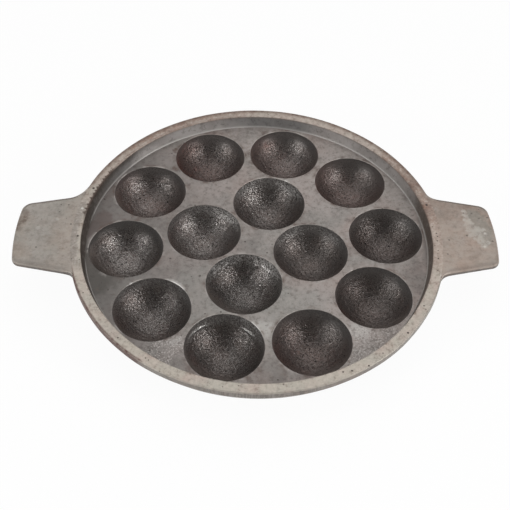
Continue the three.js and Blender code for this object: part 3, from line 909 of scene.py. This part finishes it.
def ground_land():
    """The ground land: pale warm iron, mottled pinkish and greenish, stained brown in stretches at the
    back and along its edges there, burnt brown along its outer edge at the front left, darkened along its
    outer edge by painted shade that is weaker at the front, toned like the lugs where these join it,
    hatched by the grinding at the right back, with pits, pale chips and dark teeth."""
    material, tree, shader = new_material("ground_land", metallic=0.35)
    patches = placed(tree, stain, Patch=16 * MM)
    spots = placed(tree, stain, Patch=4 * MM)
    flecks = placed(tree, speckle, Size=3.0 * MM)
    holes = placed(tree, pits, Spacing=4 * MM, Share=0.4, Width=0.9 * MM)
    x, y, _ = coordinates(tree)
    radius = away(x, y)
    by_lug = band(sums("ABSOLUTE", y), *LUG_SIDES)
    left = share(band(x, *LEFT_HALF), band(radius, *LUG_RING))
    right = share(band(x, *RIGHT_HALF), 0.85)
    brown = share(blots(tree, LAND_BROWNS), span(patches["Warm"], 0.5, 0.9))
    pale = share(band(radius, *PALE_RING), band(y, *PALE_BACK))
    brown_edge = share(band(radius, *BROWN_RING), band(y, *BROWN_BACK))
    burnt_edge = share(band(radius, *BURNT_RING), blots(tree, EDGE_BURNS))
    rusty_edge = share(band(radius, *RUST_RING), either(brown, spots["Rust"]))
    turn = sums("ARCTAN2", y, x)
    hatched = share(band(turn, *HATCH_START), band(turn, *HATCH_END))
    scratch = band(sums("SINE", share(turn, 2 * np.pi * HATCH_LINES)), 0.2, 1.0)
    colour = coats(
        paint(patches["Warm"], (0.475, 0.43, 0.37), (0.465, 0.385, 0.335)),
        (patches["Cool"], 0.5, (0.42, 0.405, 0.355)),
        (band(y, *LAND_BACK), 0.4, (0.36, 0.282, 0.242)),
        (by_lug, left, (0.318, 0.284, 0.252)),
        (by_lug, right, (0.4, 0.318, 0.272)),
        (brown, 1.0, (0.24, 0.16, 0.128)),
        (brown, share(spots["Warm"], 0.6), (0.38, 0.235, 0.175)),
        (pale, 0.35, (0.5, 0.43, 0.385)),
        (flecks["Light"], 0.5, (0.62, 0.55, 0.49)),
        (flecks["Dark"], span(brown, 0.5, 0.75), (0.17, 0.125, 0.102)),
        # painted shade along the outer edge, weaker at the front
        (band(radius, *OUTER_EDGE_SHADE_RING), span(band(y, *EDGE_SHADE_FRONT), 1.0, 0.45), (0.27, 0.245, 0.215)),
        (brown_edge, span(spots["Warm"], 0.55, 1.0), (0.15, 0.095, 0.072)),
        (burnt_edge, span(spots["Warm"], 0.6, 1.0), (0.11, 0.06, 0.05)),
        (rusty_edge, 0.45, (0.11, 0.068, 0.05)),
        (hatched, share(scratch, 0.35), (0.2, 0.16, 0.14)),
        (spots["Rust"], 0.25, (0.2, 0.13, 0.1)),
        (holes["Mask"], 0.7, (0.09, 0.066, 0.055)),
        (blots(tree, LAND_PITS), 1.0, (0.05, 0.035, 0.03)),
        (blots(tree, LAND_CHIPS), 1.0, (0.6, 0.58, 0.54)),
        (mark(tree, "chipped"), 0.95, (0.07, 0.045, 0.035)),
    )
    height = sums("SUBTRACT", share(flecks["Height"], 0.7), holes["Mask"])
    finish(shader, colour, span(flecks["Light"], 0.55, 0.65), height, bump=0.14 * MM)
    return material


def wall_skin():
    """The inside of the wall: skin from the mould, dark brown at the two sides and bluish grey at the back,
    with painted light making it palest at the left and right back, brown along its top and burnt at the left,
    and a bright line painted along its foot as a highlight, weaker at the far left and brighter under the
    painted light."""
    material, tree, shader = new_material("wall_skin", metallic=0.3)
    patches = placed(tree, stain, Patch=20 * MM)
    flecks = placed(tree, speckle, Size=4 * MM)
    x, y, z = coordinates(tree)
    far_left = band(x, *WALL_FAR_LEFT)
    sides = paint(far_left, (0.098, 0.077, 0.064), (0.056, 0.046, 0.039))
    # Painted light: paler patches at the left back and right back of the wall.
    pale = blots(tree, WALL_PAINTED_LIGHTS)
    soot_and_shade = share(far_left, band(sums("ABSOLUTE", y), *SOOTY_FOOT))
    foot = sums("ADD", span(soot_and_shade, 0.5, 0.0), share(pale, 0.45))
    colour = coats(
        paint(band(y, *WALL_BACK), sides, (0.185, 0.178, 0.172)),
        # painted light at the left and right back
        (pale, 1.0, (0.36, 0.335, 0.32)),
        (patches["Warm"], 0.3, (0.1, 0.08, 0.068)),
        (band(z, *BROWN_HEIGHT), 0.4, (0.17, 0.125, 0.1)),
        (share(band(z, *DARK_HEIGHT), band(x, *WALL_LEFT)), 0.65, (0.04, 0.027, 0.02)),
        (flecks["Light"], 0.2, (0.26, 0.24, 0.225)),
        (flecks["Dark"], 0.4, (0.04, 0.033, 0.029)),
        # painted highlight: a bright line along the foot, weaker at the far left and brighter under the
        # painted light
        (mark(tree, "worn"), foot, (0.42, 0.4, 0.38)),
    )
    finish(shader, colour, span(flecks["Light"], 0.55, 0.45), flecks["Height"], bump=0.15 * MM)
    return material


def cast_skin():
    """The outside of the pan: grey cast skin, mottled, with faint upright strokes of the grinder at the
    front and a brown burn at the front left."""
    material, tree, shader = new_material("cast_skin", metallic=0.35)
    patches = placed(tree, stain, Patch=14 * MM)
    flecks = placed(tree, speckle, Size=3 * MM)
    x, y, z = coordinates(tree)
    turn = sums("ARCTAN2", x, share(y, -1.0))
    along = node(tree, "CombineXYZ", {0: share(turn, rim_outer), 2: share(z, STROKE_DRAW)}).outputs[0]
    strokes = band(noise(along, 1 / STROKE_WIDTH, 0.0), 0.45, 0.6)
    strokes = share(strokes, band(sums("ABSOLUTE", turn), STROKE_REACH, 0.4 * STROKE_REACH))
    colour = coats(
        paint(patches["Warm"], (0.275, 0.25, 0.226), (0.255, 0.22, 0.195)),
        (flecks["Dark"], 0.5, (0.1, 0.085, 0.075)),
        (strokes, 0.5, (0.13, 0.11, 0.098)),
        (blots(tree, EDGE_BURNS), 0.85, (0.11, 0.06, 0.05)),
    )
    finish(shader, colour, span(flecks["Light"], 0.6, 0.5), flecks["Height"], bump=0.15 * MM)
    return material


ground_land_material = ground_land()
wall_skin_material = wall_skin()
cast_skin_material = cast_skin()
rim()

# The lug handles are thin flat tongues cast on the rim, one each side. Their faces are as cast and run
# into the ground land at the root; their sides close in to a bowed tip. Dressing by hand left each with
# roots of its own.
HANDLE_ROOT = 63.5 * MM
HANDLE_TIP = 48.5 * MM
HANDLE_BOW = 2.0 * MM
BACK_CORNER = 7.4 * MM
FRONT_CORNER = 5.6 * MM
LEFT_FILLETS = (16.0 * MM, 4.5 * MM)
RIGHT_FILLETS = (6.5 * MM, 8.0 * MM)
RIGHT_SHORT = 0.9 * MM
HANDLE_THICK = 4.0 * MM
HANDLE_EDGE = 1.6 * MM
HANDLE_DROP = 0.2 * MM
ROOT_DROP = 0.02 * MM
ROOT_RUN = 6.0 * MM
HANDLE_SINK = 3.0 * MM
HANDLE_SKIN = 0.06 * MM
HANDLE_SKIN_LENGTH = 7.0 * MM
OUTLINE_POINTS = 440
ARC_POINTS = 60
FACE_ROWS = 30
EDGE_ROWS = 7
SIDE_ROWS = 4
EDGE_SHADE = 0.9 * MM
FRONT_SHADE = 4.2 * MM
TIP_DARK = 0.2
BACK_DARK = 0.75
FRONT_DARK = 0.2
STREAK_WIDTH = 3 * MM
STREAK_DRAW = 0.2

# Stains and wear on the lugs' faces, each (x, y, radius) in millimetres.
HANDLE_SCUFFS = [(131.4, 19.5, 2.2), (131.6, 16.5, 3), (132.1, 12.6, 3.4), (132.8, 8.6, 4.2), (134, 5, 5.2),
                 (135.4, 1.2, 5.8), (136.7, -2, 4.8), (138.2, -5.4, 3.8), (139.6, -8.5, 3), (138.2, 4.6, 3.2),
                 (140.8, 4, 2.2), (142.4, -6.6, 2)]
HANDLE_GREYS = [(136.5, 17, 6), (138.5, 13, 7), (139.5, 8, 8), (141, 3, 7.5), (141.5, -2, 6), (141, -6, 4)]
HANDLE_CHIPS = [(141.7, 1.3, 1), (139.6, -9.8, 1)]
HANDLE_STAINS = [(-148, 4, 4), (-146.8, 8.4, 4.4), (-145, 12, 4), (-145.2, 16.6, 3.4)]
HANDLE_BURNS = [(-147.6, 6.2, 2.2), (-146.2, 8.2, 2.4), (-144.6, 9.6, 1.8), (-144.6, 12.6, 1.6),
                (-148.4, 3, 1.5)]
HANDLE_DIMPLES = [(-135.3, 3.3, 2.2), (-131.5, 28.5, 2), (-124.6, 10.9, 1.6), (142, 0.6, 1.8)]
HANDLE_PITS = [(-115.4, 6.6, 0.8), (118.4, -4.6, 0.7), (116, -16, 0.6)]

# Stretches over which a colour comes in: from the left lug to the right, towards the back and towards the
# rim.
RIGHT_LUG = (-60 * MM, 60 * MM)
LUG_BACK = (0.0, 28 * MM)
LUG_ROOT = (rim_outer + 11 * MM, rim_outer)

handle_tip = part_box("right_handle")[1][0]


def touching(start, along, offset, centre, distance):
    """Centre of a circle at an offset from a straight edge and at a distance from another centre."""
    side = start + offset * np.array([-along[1], along[0]]) - centre
    back = side @ along
    return centre + side + along * (np.sqrt(back**2 - side @ side + distance**2) - back)


def handle_half(tip, corner_radius, fillet_radius):
    """Half of the right lug seen from above, from the middle of its tip round its +Y side to the middle
    of the end that is sunk in the rim: arcs and lines that touch."""
    tip_radius = ((HANDLE_TIP / 2) ** 2 + HANDLE_BOW**2) / (2 * HANDLE_BOW)
    tip_centre = np.array([tip - tip_radius, 0.0])
    root = np.array([np.sqrt(rim_outer**2 - (HANDLE_ROOT / 2) ** 2), HANDLE_ROOT / 2])
    along = np.array([tip - HANDLE_BOW, HANDLE_TIP / 2]) - root
    along /= np.linalg.norm(along)
    corner = touching(root, along, -corner_radius, tip_centre, tip_radius - corner_radius)
    fillet = touching(root, along, fillet_radius, np.zeros(2), rim_outer + fillet_radius)
    tip_angle = np.degrees(np.arctan2(corner[1], corner[0] - tip_centre[0]))
    side_angle = np.degrees(np.arctan2(along[1], along[0])) + 90
    rim_angle = np.degrees(np.arctan2(fillet[1], fillet[0]))
    return np.concatenate([
        round_off(tip_centre, tip_radius, 0, tip_angle, ARC_POINTS),
        round_off(corner, corner_radius, tip_angle, side_angle, ARC_POINTS),
        round_off(fillet, fillet_radius, side_angle + 180, rim_angle + 180, ARC_POINTS),
        round_off((0, 0), rim_outer, rim_angle, 0, 1),
        round_off((0, 0), rim_outer - HANDLE_SINK, rim_angle, 0, ARC_POINTS),
        [[rim_outer - HANDLE_SINK, 0.0]],
    ])


def handle_outline(side):
    """A lug's whole outline as evenly spaced points, anticlockwise. side is 1 for the right lug, -1 for
    the left, which is made as a right one and mirrored."""
    tip = handle_tip - RIGHT_SHORT if side > 0 else handle_tip
    back_fillet, front_fillet = RIGHT_FILLETS if side > 0 else LEFT_FILLETS
    back = handle_half(tip, BACK_CORNER, back_fillet)
    front = handle_half(tip, FRONT_CORNER, front_fillet) * [1, -1]
    loop = np.concatenate([back, front[::-1]])
    run = lengths(loop)
    even = np.linspace(0, run[-1], OUTLINE_POINTS, endpoint=False)
    outline = np.stack([np.interp(even, run, loop[:, 0]), np.interp(even, run, loop[:, 1])], axis=-1)
    return outline if side > 0 else outline[::-1] * [-1, 1]


def handle(name, side):
    """One lug: rows go from the middle of the underside out, up over the rounded edges and back over the
    face. The skin is uneven beyond the root, and the face is shaded along its edges, least at the tip."""
    outline = handle_outline(side)
    middle = np.array([side * (rim_outer + handle_tip) / 2, 0.0])
    ahead = np.roll(outline, -1, axis=0) - np.roll(outline, 1, axis=0)
    ahead /= np.linalg.norm(ahead, axis=1)[:, None]
    outward = np.stack([ahead[:, 1], -ahead[:, 0]], axis=-1)

    quarter = np.linspace(0, np.pi / 2, EDGE_ROWS)[:, None] + np.zeros(OUTLINE_POINTS)
    beyond_rim = ramp((np.linalg.norm(outline, axis=-1) - rim_outer) / ROOT_RUN)
    edge = RIM_EDGE + (HANDLE_EDGE - RIM_EDGE) * beyond_rim
    inset = edge * (1 - np.sin(quarter))
    rise = edge * (1 - np.cos(quarter))
    lift = np.linspace(0, 1, SIDE_ROWS + 2)[1:-1, None] * (HANDLE_THICK - 2 * edge)
    edge_inset = np.concatenate([inset, 0 * lift, inset[::-1]])
    edge_height = np.concatenate([rise, edge + lift, HANDLE_THICK - rise[::-1]])
    edge_rows = outline - edge_inset[..., None] * outward
    inward = np.linspace(0, 1, FACE_ROWS, endpoint=False)[1:, None, None]
    under_rows = middle + inward * (edge_rows[0] - middle)
    face_rows = middle + inward[::-1] * (edge_rows[-1] - middle)
    flat = np.concatenate([under_rows, edge_rows, face_rows, [np.tile(middle, (OUTLINE_POINTS, 1))]])
    top = np.full((len(face_rows) + 1, OUTLINE_POINTS), HANDLE_THICK)
    height = np.concatenate([np.zeros(under_rows.shape[:2]), edge_height, top])

    beyond = ramp((np.linalg.norm(flat, axis=-1) - rim_outer) / ROOT_RUN)
    drop = ROOT_DROP + (HANDLE_DROP - ROOT_DROP) * beyond
    uneven = HANDLE_SKIN * swells(flat, HANDLE_SKIN_LENGTH, seed=53) * beyond
    upper = height / HANDLE_THICK
    z = rim_top - HANDLE_DROP - HANDLE_THICK + height
    z = z + upper * (HANDLE_DROP - drop - uneven) + (1 - upper) * uneven
    rows = np.concatenate([flat, z[..., None]], axis=-1)
    foot = np.array([[*middle, z[0].mean()]])
    points = np.concatenate([rows[:-1].reshape(-1, 3), foot, rows[-1, :1]])
    grid = numbered(rows[:-1], 0)
    under_fan = fan(len(points) - 2, grid[0])
    face_fan = fan(len(points) - 1, grid[-1])[:, ::-1]
    face_start = len(under_rows) + EDGE_ROWS + SIDE_ROWS + 1
    edge_faces, face_faces = quads(grid[: face_start + 1]), quads(grid[face_start:])
    faces = [(edge_faces, 1), (face_faces, 0), (under_fan, 1), (face_fan, 0)]

    shade = EDGE_SHADE + (FRONT_SHADE - EDGE_SHADE) * ramp(-outward[:, 1] - 0.4)
    back_dark = BACK_DARK * ramp(2 * outward[:, 1] - 0.4)
    strength = TIP_DARK + back_dark + FRONT_DARK * ramp(-2 * outward[:, 1] - 0.4)
    from_edge = np.linalg.norm(flat - outline, axis=-1)
    shaded = ramp(1 - (from_edge - edge) / shade) * strength * beyond_rim
    shaded = np.concatenate([shaded[:-1].ravel(), [0, 0]])
    # The edges, sides and underside take the material painted dark as painted shade.
    materials = [handle_skin_material, shaded_handle_edge_material]
    cast_piece(name, "handle_iron", points, faces, materials, shaded=shaded)


def handle_skin():
    """The lugs' cast faces: warm grey, the right one browner, streaked along the lug, with brown stains,
    small dimples and pits, a rubbed pale scuff on the right one and a burnt stain at the left one's
    tip."""
    material, tree, shader = new_material("handle_skin", metallic=0.35)
    patches = placed(tree, stain, Patch=20 * MM)
    clouds = placed(tree, stain, Patch=9 * MM)
    spots = placed(tree, stain, Patch=5 * MM)
    flecks = placed(tree, speckle, Size=3.0 * MM)
    holes = placed(tree, pits, Spacing=5 * MM, Share=0.4, Width=1.0 * MM)
    drawn_out = node(tree, "Mapping", {"Vector": on_pan(tree), "Scale": (STREAK_DRAW, 1.0, 1.0)}).outputs[0]
    streaks = band(noise(drawn_out, 1 / STREAK_WIDTH), 0.45, 0.68)
    x, y, _ = coordinates(tree)
    right = band(x, *RIGHT_LUG)
    grey = paint(right, (0.338, 0.312, 0.282), (0.388, 0.314, 0.266))
    warm = paint(right, (0.348, 0.3, 0.258), (0.388, 0.295, 0.242))
    dimples = blots(tree, HANDLE_DIMPLES)
    burnt = either(share(blots(tree, HANDLE_STAINS), 0.4), share(blots(tree, HANDLE_BURNS), 0.75))
    colour = coats(
        paint(patches["Warm"], grey, warm),
        (patches["Cool"], 0.45, (0.285, 0.275, 0.242)),
        (share(band(y, *LUG_BACK), right), 0.65, (0.218, 0.15, 0.118)),
        (band(away(x, y), *LUG_ROOT), span(right, 0.5, 0.3), (0.41, 0.35, 0.303)),
        (streaks, 0.1, (0.21, 0.175, 0.15)),
        (clouds["Warm"], 0.35, (0.4, 0.365, 0.33)),
        (clouds["Cool"], 0.35, (0.235, 0.2, 0.172)),
        (blots(tree, HANDLE_GREYS), 0.6, (0.262, 0.255, 0.225)),
        (blots(tree, HANDLE_SCUFFS), span(spots["Warm"], 0.5, 0.8), (0.5, 0.465, 0.42)),
        (dimples, 0.5, (0.46, 0.43, 0.395)),
        (burnt, 1.0, (0.115, 0.08, 0.057)),
        (spots["Rust"], 0.4, (0.18, 0.125, 0.098)),
        (flecks["Light"], 0.3, (0.49, 0.435, 0.385)),
        (flecks["Dark"], 0.35, (0.16, 0.125, 0.105)),
        (holes["Mask"], 0.65, (0.08, 0.062, 0.052)),
        (blots(tree, HANDLE_PITS), 0.7, (0.05, 0.038, 0.032)),
        (blots(tree, HANDLE_CHIPS), 0.7, (0.6, 0.57, 0.52)),
        (mark(tree, "shaded"), 0.9, (0.15, 0.122, 0.103)),
    )
    hollow = sums("ADD", holes["Mask"], dimples)
    height = sums("SUBTRACT", share(flecks["Height"], 0.8), hollow)
    finish(shader, colour, span(flecks["Light"], 0.55, 0.65), height, bump=0.18 * MM)
    return material


def shaded_handle_edge():
    """The lugs' rounded edges, sides and undersides: brownish cast skin painted dark, a painted shade."""
    material, tree, shader = new_material("shaded_handle_edge", metallic=0.1)
    patches = placed(tree, stain, Patch=9 * MM)
    flecks = placed(tree, speckle, Size=2.5 * MM)
    colour = coats(
        paint(patches["Warm"], (0.165, 0.148, 0.135), (0.17, 0.138, 0.118)),
        (flecks["Light"], 0.3, (0.26, 0.235, 0.21)),
        (flecks["Dark"], 0.5, (0.07, 0.057, 0.05)),
    )
    finish(shader, colour, span(flecks["Light"], 0.8, 0.7), flecks["Height"], bump=0.15 * MM)
    return material


handle_skin_material = handle_skin()
shaded_handle_edge_material = shaded_handle_edge()
handle("right_handle", 1)
handle("left_handle", -1)

# The floor is a plain white table top. Seen straight on it is nearly white by itself, so the background is
# white and the pan's shadow on it is faint.
FLOOR_SIZE = 6.0
WHITE = (1.0, 1.0, 1.0, 1.0)
FLOOR_COLOUR = (0.9, 0.9, 0.9, 1.0)
FLOOR_ROUGH = 0.9
FLOOR_GLOW = 0.95


def seen_directly(tree):
    """1 for rays from the camera and for reflections, 0 for the light that falls on the pan."""
    rays = node(tree, "LightPath").outputs
    return either(either(rays["Is Camera Ray"], rays["Is Transmission Ray"]), rays["Is Glossy Ray"])


def floor():
    """A flat square under the pan, mostly glowing white where it is seen and plain white to all other
    light."""
    half = FLOOR_SIZE / 2
    corners = [(-half, -half, 0), (half, -half, 0), (half, half, 0), (-half, half, 0)]
    mesh = bpy.data.meshes.new("floor")
    mesh.from_pydata(corners, [], [(0, 1, 2, 3)])
    material, tree, shader = new_material("white_table", metallic=0.0)
    shader.inputs["Base Color"].default_value = FLOOR_COLOUR
    shader.inputs["Roughness"].default_value = FLOOR_ROUGH
    glow = node(tree, "Emission", {"Color": WHITE, "Strength": 1.0})
    glowing = share(seen_directly(tree), FLOOR_GLOW)
    both = node(tree, "MixShader", {0: glowing, 1: shader.outputs[0], 2: glow.outputs[0]})
    feed(tree.nodes["Material Output"].inputs["Surface"], both.outputs[0])
    mesh.materials.append(material)
    table = bpy.data.objects.new("floor", mesh)
    bpy.context.collection.objects.link(table)


floor()

# Light: a dim white room, darkest in front above the pan, with a white backdrop round the horizon, a large
# softbox overhead a little behind the pan, and two strip boxes in front at the left and right that put two
# sparkling highlights in every cup.
ROOM_LIGHT = 0.26
DIM_LIGHT = 0.06
DIM_WAY = (0.0, -0.79, 0.61)
DIM_EDGE = np.cos(np.radians(55))
DIM_CORE = np.cos(np.radians(28))
BACKDROP_LOW = np.sin(np.radians(15))
BACKDROP_HIGH = np.sin(np.radians(35))
TOP_SIZE = (1.8, 1.8)
TOP_POWER = 10.4
TOP_PLACE = Vector((0.0, 0.35, 1.3))
LEFT_STRIP = (0.18, 0.5)
LEFT_POWER = 4.9
LEFT_TURN = np.radians(-57)
RIGHT_STRIP = (0.26, 0.5)
RIGHT_POWER = 6.4
RIGHT_TURN = np.radians(62)
STRIP_DISTANCE = 1.1
STRIP_RISE = np.radians(22)

world = bpy.data.worlds.new("white_room")
world.use_nodes = True
bpy.context.scene.world = world
room = world.node_tree
backdrop = room.nodes["Background"]
backdrop.inputs["Color"].default_value = WHITE
way = node(room, "TexCoord").outputs["Generated"]
upward = node(room, "SeparateXYZ", {0: way}).outputs[2]
in_front = node(room, "VectorMath", {0: way, 1: DIM_WAY}, operation="DOT_PRODUCT").outputs["Value"]
dim = band(in_front, DIM_EDGE, DIM_CORE)
reflected = share(seen_directly(room), sums("SUBTRACT", 1.0, dim))
seen = either(node(room, "LightPath").outputs["Is Camera Ray"], reflected)
behind = share(seen, band(upward, BACKDROP_HIGH, BACKDROP_LOW))
feed(backdrop.inputs["Strength"], span(behind, span(dim, ROOM_LIGHT, DIM_LIGHT), 1.0))


def softbox(name, place, size, power):
    """A lamp with a wide and high face, turned to the middle of the pan."""
    lamp = bpy.data.lights.new(name, "AREA")
    lamp.shape = "RECTANGLE"
    lamp.size, lamp.size_y = size
    lamp.energy = power
    stand = bpy.data.objects.new(name, lamp)
    stand.location = place
    stand.rotation_euler = place.to_track_quat("Z", "Y").to_euler()
    bpy.context.collection.objects.link(stand)


def strip_box(name, turn, size, power):
    """A softbox in front of the pan, turned from straight ahead and a little raised."""
    level_way = np.cos(STRIP_RISE) * np.array([np.sin(turn), -np.cos(turn)])
    softbox(name, STRIP_DISTANCE * Vector((*level_way, np.sin(STRIP_RISE))), size, power)


softbox("softbox_top", TOP_PLACE, TOP_SIZE, TOP_POWER)
strip_box("strip_left", LEFT_TURN, LEFT_STRIP, LEFT_POWER)
strip_box("strip_right", RIGHT_TURN, RIGHT_STRIP, RIGHT_POWER)

# Camera: hand-held in front of the pan, looking down at about fifty degrees, a little turned and tilted.
CAMERA_RISE = np.radians(49.86)
CAMERA_HEADING = np.radians(-1.9)
CAMERA_TILT = np.radians(1.763)
CAMERA_DISTANCE = 546.7 * MM
CAMERA_AIM = Vector((-1.57 * MM, -17.70 * MM, rim_top))
CAMERA_LENS = 63.785
CAMERA_SENSOR = 36.0

view = bpy.data.cameras.new("camera")
view.lens = CAMERA_LENS
view.sensor_width = CAMERA_SENSOR
camera = bpy.data.objects.new("camera", view)
aimed = Euler((np.pi / 2 - CAMERA_RISE, 0.0, CAMERA_HEADING)).to_matrix()
tilted = aimed @ Euler((0.0, 0.0, CAMERA_TILT)).to_matrix()
camera.rotation_euler = tilted.to_euler()
camera.location = CAMERA_AIM + tilted @ Vector((0.0, 0.0, CAMERA_DISTANCE))
bpy.context.collection.objects.link(camera)
bpy.context.scene.camera = camera
bpy.context.scene.view_settings.view_transform = "Standard"
